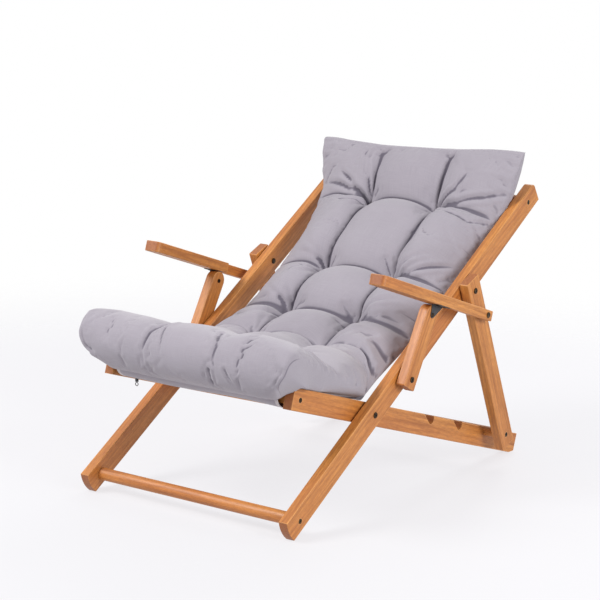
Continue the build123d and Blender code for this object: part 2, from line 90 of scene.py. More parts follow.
rack_pivot, prop_pivot = places["frame_fold"], places["prop_swing"]
post_pivot, arm_rivet = places["post_swing_left"], places["arm_tilt_left"]
main_angle = slope(rack_pivot, prop_pivot)
rack_angle = slope(middle("front_bar"), rack_pivot)
prop_angle = slope(prop_pivot, middle("prop_bar"))
post_angle = slope(post_pivot, arm_rivet)
arm_angle = slope(arm_rivet, middle("arm_bolt_left")) - BOLT_RISE
main_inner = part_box("main_rail_left")[0].x
print("main rail", round(degrees(main_angle), 2), "rack", round(degrees(rack_angle), 2))


def side_point(angle, reach, height):
    """y and z of a point by its reach along a rail and its height over it, all in metres."""
    y = rack_pivot.y + reach * cos(angle) - height * sin(angle)
    z = rack_pivot.z + reach * sin(angle) + height * cos(angle)
    return np.array((y, z))


def along_rail(net, angle):
    """Reach and height of a net's points along a rail, the other way round and in mm."""
    y, z = net[..., 1] - rack_pivot.y / MM, net[..., 2] - rack_pivot.z / MM
    return y * cos(angle) + z * sin(angle), -y * sin(angle) + z * cos(angle)


# %% [markdown]
# ## A small kit for node materials
# A procedural material is a chain of nodes. Writing each link by hand takes many lines, so
# a kit holds one tree and gives short calls for what comes back again and again. All
# patterns read Object coordinates or a cloth map, which stay on a piece when it moves.

# %% Node helpers
class Kit:
    """The node tree of a material or a world, with short calls for its nodes and links."""

    def __init__(self, owner, shader="Principled BSDF"):
        owner.use_nodes = True
        self.owner, self.tree = owner, owner.node_tree
        self.shader = self.tree.nodes[shader]

    def node(self, kind, inputs=None, **settings):
        """One node, with its settings, and its inputs by name or number."""
        made = self.tree.nodes.new(kind)
        for key, value in settings.items():
            setattr(made, key, value)
        for key, value in (inputs or {}).items():
            self.feed(made.inputs[key], value)
        return made

    def feed(self, socket, value):
        """Give a socket a plain value, or link another socket into it."""
        if isinstance(value, bpy.types.NodeSocket):
            self.tree.links.new(value, socket)
        else:
            socket.default_value = value

    def math(self, operation, a, b=0.0):
        """One value from two, by an operation such as ADD."""
        return self.node("ShaderNodeMath", {0: a, 1: b}, operation=operation).outputs[0]

    def spread(self, value, low, high, to_low=0.0, to_high=1.0):
        """Map a range of values onto another one, with both ends held."""
        ends = dict(enumerate((value, low, high, to_low, to_high)))
        return self.node("ShaderNodeMapRange", ends).outputs[0]

    def mix(self, share, a, b):
        """Mix two colours by a share."""
        return self.node("ShaderNodeMix", {0: share, 6: a, 7: b}, data_type="RGBA").outputs[2]

    def stretch(self, vector, scale):
        """A vector with each axis scaled, to draw a pattern out along one axis."""
        made = self.node("ShaderNodeVectorMath", {0: vector, 1: scale}, operation="MULTIPLY")
        return made.outputs[0]

    def noise(self, vector, scale, detail=3.0, roughness=0.55, distortion=0.0):
        """A cloudy pattern from 0 to 1, drawn out if its scale has three numbers."""
        if isinstance(scale, tuple):
            vector, scale = self.stretch(vector, scale), 1.0
        inputs = {"Vector": vector, "Scale": scale, "Detail": detail}
        inputs.update(Roughness=roughness, Distortion=distortion)
        return self.node("ShaderNodeTexNoise", inputs).outputs["Fac"]

    def bump(self, height, strength, distance, under=None):
        """Surface normals tilted by a pattern of heights, on top of other normals if given."""
        inputs = {"Height": height, "Strength": strength, "Distance": distance}
        if under is not None:
            inputs["Normal"] = under
        return self.node("ShaderNodeBump", inputs).outputs[0]

    def finish(self, **inputs):
        """Set the shader's own inputs, where _ stands for a space in a name."""
        for key, value in inputs.items():
            self.feed(self.shader.inputs[key.replace("_", " ")], value)
        return self.owner


def linear(red, green, blue):
    """A colour as seen, 0 to 255, turned into linear values by the standard sRGB curve."""
    shares = [channel / 255 for channel in (red, green, blue)]
    return tuple(s / 12.92 if s <= 0.04045 else ((s + 0.055) / 1.055) ** 2.4 for s in shares) + (1.0,)


# %% [markdown]
# ## Oiled hardwood
# The frame is a reddish honey hardwood under a satin oil. Its look has layers: a slow drift
# of tone from board to board and along each board, long streaks, growth lines, short dark
# pores and flecks, and paler arrises, partly where the oil has been rubbed thin and partly a
# painted highlight where the rounded edges catch the light. Each board gets its own copy of
# the material, turned so that the grain runs along that board, which is the one thing that
# makes painted wood look sawn instead of printed.

# %% Wood finish
HONEY, AMBER, RUSSET = linear(210, 142, 68), linear(190, 116, 52), linear(126, 66, 28)
PALE_ARRIS_AND_HIGHLIGHT, END_GRAIN = linear(234, 178, 112), linear(134, 72, 36)
ARRIS_RADIUS = 2.2 * MM
# How often each layer repeats in a metre: across the grain, along it, across again.
DRIFT, STREAKS = (14, 1.6, 14), (120, 4.5, 120)
PORES, FLECKS = (900, 28, 900), (320, 70, 320)
RING_STRETCH = (1.0, 0.05, 1.0)
RINGS = {"Scale": 55.0, "Distortion": 5.5, "Detail": 2.5, "Detail Scale": 0.9}
# How much of its colour each layer brings in where it is strongest.
STREAK_SHARE, RING_SHARE, PORE_SHARE, FLECK_SHARE = 0.62, 0.22, 0.42, 0.34
END_SHARE, ARRIS_HIGHLIGHT_SHARE = 0.7, 0.55
PORE_RELIEF, GRAIN_RELIEF = 0.8, 0.25 * MM


def wood(name, turn, shift):
    """Oiled wood with its grain along Y, once turned; each spread says where a layer fades in."""
    kit = Kit(bpy.data.materials.new(name))
    place = kit.node("ShaderNodeTexCoord")
    turned = kit.node("ShaderNodeMapping", {"Vector": place.outputs["Object"], "Rotation": turn})
    moved = kit.node("ShaderNodeVectorMath", {0: turned.outputs[0], 1: shift}, operation="ADD")
    grain = moved.outputs[0]
    drift = kit.noise(grain, DRIFT, 2.0)
    streaks = kit.noise(grain, STREAKS, 4.0, 0.6, 0.6)
    rings = kit.node("ShaderNodeTexWave", {"Vector": kit.stretch(grain, RING_STRETCH), **RINGS},
                        bands_direction="DIAGONAL")
    pores = kit.noise(grain, PORES, 2.0, 0.7)
    pore_mask = kit.spread(pores, 0.56, 0.70)
    flecks = kit.noise(grain, FLECKS, 3.0, 0.65)
    tone = kit.mix(kit.spread(drift, 0.3, 0.7), AMBER, HONEY)
    for layer in (kit.spread(streaks, 0.42, 0.72, 0.0, STREAK_SHARE),
                  kit.spread(rings.outputs["Fac"], 0.35, 1.0, 0.0, RING_SHARE),
                  kit.math("MULTIPLY", pore_mask, PORE_SHARE),
                  kit.spread(flecks, 0.35, 0.68, 0.0, FLECK_SHARE)):
        tone = kit.mix(layer, tone, RUSSET)
    facing = kit.node("ShaderNodeMapping", {"Vector": place.outputs["Normal"], "Rotation": turn})
    split = kit.node("ShaderNodeSeparateXYZ", {"Vector": facing.outputs[0]})
    end = kit.spread(kit.math("ABSOLUTE", split.outputs["Y"]), 0.75, 0.95, 0.0, END_SHARE)
    tone = kit.mix(end, tone, END_GRAIN)
    # Paler arrises: partly oil rubbed thin, partly a painted highlight on the rounded edges.
    tone = kit.mix(kit.math("MULTIPLY", arris_highlight_mask(kit), ARRIS_HIGHLIGHT_SHARE), tone, PALE_ARRIS_AND_HIGHLIGHT)
    gloss = kit.spread(streaks, 0.3, 0.7, 0.44, 0.6)
    relief = kit.math("SUBTRACT", streaks, kit.math("MULTIPLY", pore_mask, PORE_RELIEF))
    normal = kit.bump(relief, 0.35, GRAIN_RELIEF)
    return kit.finish(Base_Color=tone, Roughness=gloss, Normal=normal, Coat_Weight=0.1,
                         Coat_Roughness=0.35)


def arris_highlight_mask(kit):
    """1 on rounded edges, where the smoothed normal turns away from the true one: the place of the paler arris and
    its painted highlight.
    """
    soft = kit.node("ShaderNodeBevel", {"Radius": ARRIS_RADIUS}, samples=4)
    true = kit.node("ShaderNodeNewGeometry")
    dot = kit.node("ShaderNodeVectorMath", {0: soft.outputs[0], 1: true.outputs["Normal"]},
                      operation="DOT_PRODUCT")
    return kit.spread(dot.outputs["Value"], 0.995, 0.93)


def finish_with(material, name):
    """Put a material on a CAD node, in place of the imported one."""
    mesh = nodes[name].data
    mesh.materials.clear()
    mesh.materials.append(material)


# To bring its grain onto Y, a board's slope is turned back and a dowel is swung round.
ALONG_DOWEL = (0.0, 0.0, pi / 2)
boards = {"main_rail": main_angle, "rack_rail": rack_angle, "prop_rail": prop_angle,
          "arm_post": post_angle, "armrest": arm_angle}
# Every board is cut from another place of the tree, so its pattern is shifted unevenly.
for number, (board, angle) in enumerate(boards.items()):
    for side, offset in (("left", 0.31), ("right", 0.77)):
        shift = (offset + number * 0.173, offset * 2 + number * 0.61, number * 0.29)
        finish_with(wood(f"wood_{board}_{side}", (-angle, 0.0, 0.0), shift), f"{board}_{side}")
for number, dowel in enumerate(("foot_dowel", "top_dowel", "front_bar", "prop_bar")):
    finish_with(wood(f"wood_{dowel}", ALONG_DOWEL, (number * 0.4, 0.2, number * 0.3)), dowel)
print("wooden nodes", 2 * len(boards) + 4)

# %% [markdown]
# ## Brass, steel, nylon and the zip
# The screws and bolts are brass left to darken: brown black, with worn spots that still
# shine. The brackets are black powder coated sheet, whose fine orange peel scatters the
# light. Nylon washers are simply black and matt. One recipe serves all of them, with the
# tone, the wear and the grain of its noise as inputs.

# %% Metal and plastic finishes
WORN_PATCHES = 260.0
WORN_GLOSS = 0.72
SPECKLE_RELIEF = 0.08 * MM


def metal(name, tone, worn, roughness, speckle, metallic=1.0):
    """A metal with worn, glossier patches and a surface with so many speckles in a metre."""
    kit = Kit(bpy.data.materials.new(name))
    place = kit.node("ShaderNodeTexCoord").outputs["Object"]
    patches = kit.noise(place, WORN_PATCHES, 4.0, 0.65)
    grain = kit.noise(place, speckle, 3.0)
    colour = kit.mix(kit.spread(patches, 0.52, 0.68), tone, worn)
    gloss = kit.spread(patches, 0.4, 0.7, roughness, roughness * WORN_GLOSS)
    normal = kit.bump(grain, 0.3, SPECKLE_RELIEF)
    return kit.finish(Base_Color=colour, Roughness=gloss, Metallic=metallic, Normal=normal)


slot_finish = {
    "dark_brass": metal("dark_brass", linear(52, 42, 32), linear(112, 90, 60), 0.38, 1800.0),
    "black_steel": metal("black_powder", linear(40, 40, 44), linear(52, 52, 57), 0.5, 1400.0, 0.0),
    "black_nylon": metal("black_nylon", linear(30, 29, 28), linear(38, 37, 36), 0.6, 900.0, 0.0),
    "zip_metal": metal("zip_gunmetal", linear(58, 57, 58), linear(150, 150, 152), 0.35, 2000.0),
}
for subpart in frame["record"]["subparts"]:
    if subpart["material_slot"] in slot_finish:
        finish_with(slot_finish[subpart["material_slot"]], subpart["node"])
print("metal and plastic finishes", list(slot_finish))

# %% [markdown]
# ## Woven cotton
# The pad's cover is a lavender grey cotton with a plain weave. The weave must follow the
# cloth, not the room, so it reads the pad's own UV map, whose unit is a metre of cloth.
# Two sets of threads cross: where one is on top it catches the light, and the other dips.
# Uneven threads, a slow cast of tone and a soft sheen keep it from looking printed, and an
# attribute of the pad's mesh paints the bottoms of its creases darker, as painted shade.

# %% Cotton finish
# Base, light and deep tone of the cover, and of the turned hems. The deep tone is painted shade in the dips of the
# weave.
COVER_TONES = linear(149, 143, 152), linear(161, 155, 164), linear(125, 119, 129)
HEM_TONES = linear(184, 178, 180), linear(206, 201, 202), linear(178, 172, 176)
# Painted shade: the bottoms of creases and the front side seams are darkened towards this colour, by this share.
PAINTED_CREASE_SHADE, PAINTED_CREASE_SHARE = linear(84, 78, 92), 0.85
THREAD_PITCH, THREAD_RELIEF, CLOTH_RELIEF = 1.3 * MM, 0.3 * MM, 2.0 * MM
# How often the threads' unevenness repeats in a metre of cloth, across it and along it.
UNEVEN, SLUBS, CROSS_SLUBS = (40, 700, 1), (900, 25, 1), (25, 900, 1)
SLOW_CAST, FINE_LUMPS = 7.0, 60.0


def cotton(name, tone, light, deep):
    """Plain woven cotton on a UV map in metres."""
    kit = Kit(bpy.data.materials.new(name))
    cloth = kit.node("ShaderNodeUVMap", uv_map="cloth").outputs[0]
    place = kit.node("ShaderNodeTexCoord").outputs["Object"]
    uneven = kit.noise(cloth, UNEVEN, 2.0)
    sway = kit.math("MULTIPLY", kit.math("SUBTRACT", uneven, 0.5), 0.5 * THREAD_PITCH)
    split = kit.node("ShaderNodeSeparateXYZ", {"Vector": cloth})

    def threads_across(axis):
        """Threads side by side along one axis of the cloth, as a wave."""
        swayed = kit.math("ADD", split.outputs[axis], sway)
        return kit.math("SINE", kit.math("MULTIPLY", swayed, pi / THREAD_PITCH))

    over = kit.math("ABSOLUTE", kit.math("MULTIPLY", threads_across("X"), threads_across("Y")))
    slubs = kit.noise(cloth, SLUBS, 2.0)
    cross_slubs = kit.noise(cloth, CROSS_SLUBS, 2.0)
    threads = kit.math("ADD", slubs, cross_slubs)
    cast = kit.noise(place, SLOW_CAST, 3.0)
    # Painted shade: the dips of the weave, where no thread lies on top, are darker.
    colour = kit.mix(kit.spread(over, 0.0, 0.6, 0.35, 0.0), tone, deep)
    colour = kit.mix(kit.spread(threads, 0.8, 1.25, 0.0, 0.5), colour, light)
    colour = kit.mix(kit.spread(cast, 0.35, 0.7, 0.0, 0.35), colour, light)
    # Painted shade in the creases and at the front side seams, read from the pad's crease attribute.
    crease = kit.node("ShaderNodeAttribute", attribute_name="crease").outputs["Fac"]
    colour = kit.mix(kit.spread(crease, 0.3, 0.95, 0.0, PAINTED_CREASE_SHARE), colour, PAINTED_CREASE_SHADE)
    height = kit.math("ADD", over, kit.math("MULTIPLY", threads, 0.5))
    normal = kit.bump(height, 0.35, THREAD_RELIEF)
    normal = kit.bump(kit.noise(place, FINE_LUMPS, 4.0), 0.12, CLOTH_RELIEF, normal)
    return kit.finish(Base_Color=colour, Roughness=0.92, Normal=normal, Sheen_Weight=0.25,
                         Sheen_Roughness=0.5)


cushion_cotton = cotton("cushion_cotton", *COVER_TONES)
hem_cotton = cotton("hem_cotton", *HEM_TONES)
print("cotton threads per cm", round(10 * MM / THREAD_PITCH, 1))

# %% [markdown]
# ## The shape of the pad
# The pad is one bag of fibre, stitched through at ten points in two columns, so it swells
# into three columns of pillows with creases between them. In front it rolls over the ends
# of the racks. Its shape, as it would be without stitches, follows two tables of stations,
# and everything between them is a smooth curve.

# %% Stations of the pad
# Each row: underside reach and height, top reach and height, crease at the columns, half
# width, seam height share, squareness of the edge, and how much lower the outer pillows are
# than the middle one. In millimetres, along and over the racks or the main rails.
rack_stations = (
    (-263, -8, -267, -12, 0, 212, 0.5, 3, 2),
    (-261, 0, -304, -5, 2, 226, 0.3, 6, 2),
    (-258, 14, -329, 15, 3, 250, 0.9, 9, 2),
    (-252, 24, -340, 42, 3, 268, 0.93, 12, 1),
    (-246, 24, -339, 70, 6, 270, 0.87, 9, 1),
    (-238, 24, -323, 95, 10, 269, 0.76, 6, 2),
    (-230, 24, -296, 108, 15, 267, 0.66, 4.4, 4),
    (-220, 24, -262, 111, 20, 264, 0.56, 3.6, 6),
    (-204, 24, -226, 111, 22, 262, 0.5, 3.2, 7),
    (-180, 24, -186, 110, 24, 260, 0.45, 3, 8),
    (-140, 24, -140, 110, 28, 259, 0.38, 3, 8),
    (-90, 24, -92, 116, 30, 258, 0.3, 2.8, 8),
    (-50, 24, -50, 125, 32, 256, 0.24, 2.5, 8),
    (-18, 24, -4, 131, 32, 251, 0.16, 2.1, 10),
)
main_stations = (
    (20, 18, 160, 82, 34, 244, 0.14, 1.8, 10),
    (66, 10, 174, 87, 32, 240, 0.14, 1.6, 10),
    (118, 1, 190, 88, 32, 237, 0.12, 1.4, 12),
    (180, -8, 213, 86, 32, 235, 0.1, 1.3, 12),
    (229, -14, 229, 80, 34, 234, 0.1, 1.2, 12),
    (312, -22, 312, 65, 30, 234, 0.1, 1.15, 12),
    (391, -24, 391, 66, 34, 234, 0.12, 1.15, 12),
    (510, -18, 510, 72, 32, 237, 0.14, 1.25, 12),
    (575, -10, 575, 80, 32, 241, 0.16, 1.35, 12),
    (612, -4, 612, 87, 32, 246, 0.18, 1.45, 12),
    (652, 4, 652, 95, 30, 255, 0.24, 1.6, 12),
    (690, 14, 690, 103, 26, 265, 0.42, 2, 10),
    (722, 32, 722, 109, 20, 270, 0.66, 3, 6),
    (743, 58, 743, 113, 13, 272, 0.78, 4, 2),
    (755, 86, 755, 114, 6, 274, 0.75, 4, 0),
    (760, 103, 760, 110, 0, 273, 0.5, 3, 0),
)
# Two columns of stitches, this far from the middle, in rows. Each row: its station, the
# depth of its crease and of the pit at each stitch.
STITCH_X = 92.0
stitched_rows = ((10, 30, 12), (14, 42, 14), (18, 38, 18), (20, 36, 20), (23, 38, 14))
RING_STEP = 6.4


def smooth_through(knots, values, at):
    """A curve through values at knots, with slopes taken from the neighbours."""
    slopes = np.gradient(values, knots, axis=0)
    cell = np.clip(np.searchsorted(knots, at, side="right") - 1, 0, len(knots) - 2)
    span = knots[cell + 1] - knots[cell]
    q = ((at - knots[cell]) / span)[:, None]
    span = span[:, None]
    low, high = values[cell], values[cell + 1]
    ease = 3 * q**2 - 2 * q**3
    lift = q**3 - 2 * q**2 + q
    fall = q**3 - q**2
    return low + (high - low) * ease + span * (slopes[cell] * lift + slopes[cell + 1] * fall)


station_values = []
for angle, stations in ((rack_angle, rack_stations), (main_angle, main_stations)):
    for low_reach, low_height, top_reach, top_height, *rest in stations:
        low_point = side_point(angle, low_reach * MM, low_height * MM) / MM
        top_point = side_point(angle, top_reach * MM, top_height * MM) / MM
        station_values.append([*low_point, *top_point, *rest])
station_values = np.array(station_values)
chords = np.hypot(*np.diff(station_values[:, 2:4], axis=0).T)
station_knots = np.concatenate([[0.0], np.cumsum(chords)])
ring_places = []
for start, end in zip(station_knots[:-1], station_knots[1:]):
    steps = max(1, round((end - start) / RING_STEP))
    ring_places.extend(np.linspace(start, end, steps, endpoint=False))
ring_places = np.array([*ring_places, station_knots[-1]])
rings = smooth_through(station_knots, station_values, ring_places)
row_places = [station_knots[number] for number, depth, pit in stitched_rows]
print("pad length over its crown", round(station_knots[-1]), "mm in", len(rings), "rings")

# %% [markdown]
# ## From stations to a net of points
# Around each station the cover runs from the left seam over three pillows to the right
# seam, and back underneath. A pillow is steep at its crease and flat on top, like a quarter
# of a circle. Creases of the rows and the columns add up, less than fully, so the stitches
# lie deepest, as they do when a cord pulls the top towards the underside.

# %% Cross section of the pad
# Where the outer pillows crest. How far a row's crease reaches and how it fades outwards.
# How steeply pillows rise, how crossing creases add up, and how far a stitch's pit reaches.
OUTER_CREST = 152.0
ROW_SWELL, ROW_FADE, ROW_FADE_WIDTH = 84.0, 0.35, 120.0
STEEPNESS, CREASE_SUM = 0.8, 1.3
PIT_REACH, PIT_POWER = 32.0, 1.3
# Where the pad is thinner than this its creases get shallower, how blunt its side wall is
# at most, and how thin it gets beside the seam.
FULL_THICKNESS, WALL_POWER, THINNEST = 70.0, 2.2, 0.14
# How far the underside is rounded at a station of the front and at one behind it.
UNDER_STATIONS, UNDER_REACH, UNDER_POWER = [9, 13], (0.05, 0.35), 2.4
SECTION_POINTS, CENTRE_POINTS, OUTER_POINTS = 2401, 31, 32
# The right front corner is stuffed to a point: how far it sticks out of the front face at
# its stations, and how much higher its seam lies there, as a share of the height.
EAR_START, EAR_SQUARENESS = 165.0, 4
ear_stations = [2, 3, 4, 5, 6, 7, 8]
ear_lengths = (0, 4, 7, 13, 8, 2, 0)
ear_seam_shares = (0, 0.02, 0.07, 0.15, 0.14, 0.08, 0)


def pillow(gap, swell):
    """How far a pillow has risen at this distance from its crease, 0 to 1."""
    left = 1 - np.clip(np.abs(gap) / swell, 0, 1)
    return (1 - left**2) ** STEEPNESS


def crease_depth(x, place, column_depth):
    """How far the stitching draws the top in, by place across and along the pad."""
    reach = np.abs(x)
    swell = np.where(reach < STITCH_X, STITCH_X, OUTER_CREST - STITCH_X)
    column = column_depth * (1 - pillow(reach - STITCH_X, swell))
    row, pit = np.zeros_like(x), np.zeros_like(x)
    for (number, depth, pit_depth), row_place in zip(stitched_rows, row_places):
        gap = place - row_place
        fade = 1 - ROW_FADE * np.clip((reach - STITCH_X) / ROW_FADE_WIDTH, 0, 1)
        row += depth * fade * (1 - pillow(gap, ROW_SWELL))
        away = np.hypot(reach - STITCH_X, gap)
        pit += pit_depth * np.exp(-((away / PIT_REACH) ** PIT_POWER))
    return (column**CREASE_SUM + row**CREASE_SUM) ** (1 / CREASE_SUM) + pit


def section(place, height, column_depth, half_width, seam, square, outer_fall):
    """One ring of the pad: x and height over the underside, for its top and bottom halves."""
    x = np.linspace(-half_width, half_width, SECTION_POINTS)
    reach = np.abs(x)
    ear_places = station_knots[ear_stations]
    ear = np.where(x < 0, np.interp(place, ear_places, ear_lengths), 0)
    ear_seam = np.where(x < 0, np.interp(place, ear_places, ear_seam_shares), 0)
    seam = seam + ear_seam
    square = square * (1 + EAR_SQUARENESS * ear_seam)
    edge = seam * height + ear
    outward = np.clip((reach - STITCH_X) / (OUTER_CREST - STITCH_X), 0, 1)
    scale = min(1.0, height / FULL_THICKNESS)
    top = height - outer_fall * outward**2 - scale * crease_depth(x, place, column_depth)
    top += ear * np.clip((reach - EAR_START) / (half_width - EAR_START), 0, 1) ** 2
    p = np.clip((reach - OUTER_CREST) / (half_width - OUTER_CREST), 0, 1)
    side = (1 - p**square) ** (1 / np.minimum(square, WALL_POWER))
    top = np.maximum(edge + (top - edge) * side, THINNEST * height * side + edge * (1 - side))
    roundness = np.interp(place, station_knots[UNDER_STATIONS], UNDER_REACH)
    inset = roundness * half_width * np.minimum(1, 2.0 * (1.05 - seam))
    s = np.clip((reach - (half_width - inset)) / inset, 0, 1)
    bottom = edge * (1 - (1 - s**UNDER_POWER) ** 0.5)
    return x, top, bottom


def even_points(x, height, low, high, count):
    """Points at even distances along the part of a curve between two x, ends included."""
    slack = 0.2
    part = (x >= low - slack) & (x <= high + slack)
    x, height = x[part], height[part]
    run = np.concatenate([[0.0], np.cumsum(np.hypot(np.diff(x), np.diff(height)))])
    at = np.linspace(0, run[-1], count)
    return np.interp(at, run, x), np.interp(at, run, height), at


def across(x, height):
    """One row of net points, with a point exactly on both stitched columns."""
    parts, start = [], 0.0
    cuts = (x[0], -STITCH_X, STITCH_X, x[-1])
    for low, high, count in zip(cuts, cuts[1:], (OUTER_POINTS, CENTRE_POINTS, OUTER_POINTS)):
        part = np.array(even_points(x, height, low, high, count))
        part[2] += start
        start = part[2, -1]
        parts.append(part if not parts else part[:, 1:])
    return np.concatenate(parts, axis=1)


def pad_net():
    """Points of the pad's top and bottom as rings of (x, y, z) in mm, and their cloth map."""
    top, bottom, cloth = [], [], ([], [])
    for place, (low_y, low_z, top_y, top_z, *form) in zip(ring_places, rings):
        low, up = np.array((low_y, low_z)), np.array((top_y - low_y, top_z - low_z))
        height = np.hypot(*up)
        x, over, under = section(place, height, *form)
        for net, side, curve in ((top, 0, over), (bottom, 1, under)):
            px, ph, run = across(x, curve)
            net.append(np.column_stack([px, low + (ph / height)[:, None] * up]))
            cloth[side].append(np.column_stack([run, np.full_like(run, place)]))
    return np.array(top), np.array(bottom), np.array(cloth)


def cloth_across(x, run):
    """Place across the pad, measured on the cloth, outwards from the stitched columns."""
    left, right = OUTER_POINTS - 1, OUTER_POINTS + CENTRE_POINTS - 2
    wide = x.copy()
    wide[:, right:] = STITCH_X + run[:, right:] - run[:, right : right + 1]
    wide[:, : left + 1] = run[:, : left + 1] - run[:, left : left + 1] - STITCH_X
    return wide


pad_top, pad_bottom, pad_cloth = pad_net()
pad_wide = cloth_across(pad_top[..., 0], pad_cloth[0][..., 0])
TOP_POINTS = pad_top.shape[1]
print("pad net", pad_top.shape)

# %% [markdown]
# ## A mesh with a cloth map
# The net becomes a closed mesh: top and bottom share their seam points, and a narrow strip
# closes both ends. The UV map keeps each point's distance along the cloth in metres, so
# the weave has the same scale on the pad and on the sleeves.

# %% Build a mesh from the net
def cotton_piece(name, points, faces, cloth_map):
    """A cotton mesh from points in metres, with a UV map called cloth."""
    mesh = bpy.data.meshes.new(name)
    mesh.from_pydata(points, [], faces)
    layer = mesh.uv_layers.new(name="cloth")
    layer.data.foreach_set("uv", np.asarray(cloth_map, np.float32).ravel())
    mesh.materials.append(cushion_cotton)
    mesh.shade_smooth()
    piece = bpy.data.objects.new(name, mesh)
    scene.collection.objects.link(piece)
    return piece


def quads(first):
    """The corner numbers of every cell of a net, from the numbers of its points."""
    return np.stack([first[:-1, :-1], first[:-1, 1:], first[1:, 1:], first[1:, :-1]], axis=-1)


def pad_mesh(name, top, bottom, cloth):
    """The closed pad, from its top and bottom nets in mm."""
    count, width = top.shape[:2]
    over = np.arange(count * width).reshape(count, width)
    under = over.copy()
    under[:, 1:-1] = np.arange(count * (width - 2)).reshape(count, width - 2) + count * width
    points = np.concatenate([top.reshape(-1, 3), bottom[:, 1:-1].reshape(-1, 3)]) * MM
    faces, maps = [], []
    for half, numbers, turn in ((0, over, 1), (1, under, -1)):
        faces.append(quads(numbers)[:, :, ::turn].reshape(-1, 4))
        cells = np.unravel_index(quads(over)[:, :, ::turn], over.shape)
        maps.append(cloth[half][cells].reshape(-1, 4, 2))
    for ring, turn in ((0, -1), (count - 1, 1)):
        top_row, low_row = over[ring], under[ring]
        strip = np.stack([top_row[:-1], top_row[1:], low_row[1:], low_row[:-1]], axis=-1)[:, ::turn]
        faces.append(strip[1:-1])
        maps.append(np.repeat(cloth[0][ring, 1:-2][:, None], 4, axis=1))
        for cell in (strip[0], strip[-1]):
            faces.append([list(dict.fromkeys(cell.tolist()))])
            maps.append(np.repeat(cloth[0][ring, :1][:, None], 3, axis=1))
    corners = [list(map(int, face)) for part in faces for face in part]
    cloth_map = np.concatenate([part.reshape(-1, 2) for part in maps]) * MM
    return cotton_piece(name, points.tolist(), corners, cloth_map)


slack_pad = pad_mesh("slack_pad", pad_top, pad_bottom, pad_cloth)
print("slack pad faces", len(slack_pad.data.polygons))

# %% [markdown]
# ## Filling the pad
# Drawn curves stay a little stiff. A short cloth simulation fixes that: the cover is blown
# up by a light pressure while the stitches, the side seams and the resting underside hold
# it, and a cover about one percent larger than its shape has spare cloth that swells and
# gives by itself. The travel of each point is capped, so the pad keeps its size.

# %% Inflate
TRAVEL_CAP, SIM_FRAMES = 13.0, 20
CLOTH = {"quality": 6, "mass": 0.3, "use_pressure": True, "uniform_pressure_force": 3.5,
         "tension_stiffness": 12, "compression_stiffness": 12, "shear_stiffness": 4,
         "bending_stiffness": 0.1, "shrink_min": -0.012, "vertex_group_mass": "held"}
# The shares by which creases and the points beside the seams are held, how near to a crease
# that counts, and how near to a stitch or an end of the pad nothing moves.
CREASE_HELD, SEAM_HELD, CREASE_BAND, FIRM_BAND = 0.3, 0.6, 3.0, 12.0


def held_share():
    """How firmly each point of the top net is held, from 0 to 1."""
    x, place = pad_top[..., 0], np.repeat(ring_places[:, None], TOP_POINTS, axis=1)
    side = np.abs(np.abs(x) - STITCH_X)
    held = np.where(side < CREASE_BAND, CREASE_HELD, 0.0)
    for row in row_places:
        gap = np.abs(place - row)
        held = np.maximum(held, np.where(gap < CREASE_BAND, CREASE_HELD, 0.0))
        held = np.maximum(held, np.where(np.hypot(side, gap) < FIRM_BAND, 1.0, 0.0))
    held[:, (0, 1, -2, -1)] = (1.0, SEAM_HELD, SEAM_HELD, 1.0)
    ends = np.minimum(place, station_knots[-1] - place)
    return np.maximum(held, np.where(ends < FIRM_BAND, 1.0, 0.0))


def inflate(piece, held):
    """Blow the cover up against what holds it, and give the moved points in mm."""
    rest = np.array([vertex.co for vertex in piece.data.vertices])
    group = piece.vertex_groups.new(name="held")
    for share in np.unique(held):
        if share > 0:
            group.add(np.flatnonzero(held == share).tolist(), float(share), "REPLACE")
    cloth = piece.modifiers.new("inflate", "CLOTH")
    for key, value in CLOTH.items():
        setattr(cloth.settings, key, value)
    cloth.settings.effector_weights.gravity = 0
    for number in range(1, SIM_FRAMES + 1):
        scene.frame_set(number)
    shown = piece.evaluated_get(bpy.context.evaluated_depsgraph_get())
    travel = (np.array([vertex.co for vertex in shown.data.vertices]) - rest) / MM
    scene.frame_set(1)
    length = np.linalg.norm(travel, axis=1, keepdims=True)
    print("furthest travel before the cap", round(float(length.max()), 1), "mm")
    return rest / MM + travel * np.minimum(1, TRAVEL_CAP / np.maximum(length, 1e-9))


top_count = pad_top.shape[0] * TOP_POINTS
held = np.ones(len(slack_pad.data.vertices))
held[:top_count] = held_share().ravel()
pad_top = inflate(slack_pad, held)[:top_count].reshape(pad_top.shape)
slack_mesh = slack_pad.data
bpy.data.objects.remove(slack_pad)
bpy.data.meshes.remove(slack_mesh)

# %% [markdown]
# ## Pulls and puckers
# Stitching also pulls the cover sideways, and the gathered cloth stands up in short folds
# that point at the stitch like spokes. A few larger folds cross a whole pillow and bend on
# their way, so each has a row in a table. Along the side seams the cloth puckers in small.
# All of this is finer than the simulated net, so the net is doubled in both ways first, and
# moves along its own normals.

# %% Folds and gathers
PUCKER_HEIGHT, PUCKER_REACH, PUCKER_SPACING = 2.0, 24.0, 13.0
LUMP_WAVES, LUMP_SIZE, LUMP_HEIGHT = 7, 150, 1.6
# Folds stop this close to a seam and to an end of the pad, and puckers this close to a seam.
FOLD_STOP, END_STOP, PUCKER_STOP = 10.0, 18.0, 4.0
# A fold's profile: power of its valley, height and place of its shoulders. Its run: head
# start and rise at the stitch, end and fall.
SPOKE_PROFILE, SPOKE_RUN = (1.1, 0.55, 1.9), (0.15, 0.3, 1.05, 0.9)
FOLD_PROFILE, FOLD_RUN = (1.2, 0.5, 2.0), (0.3, 0.5, 1.02, 0.7)
SHOULDER_WIDTH = 0.9
SPOKE_WIDTH, SPOKE_BEND, SPOKE_TURN = 5.0, 5, 9
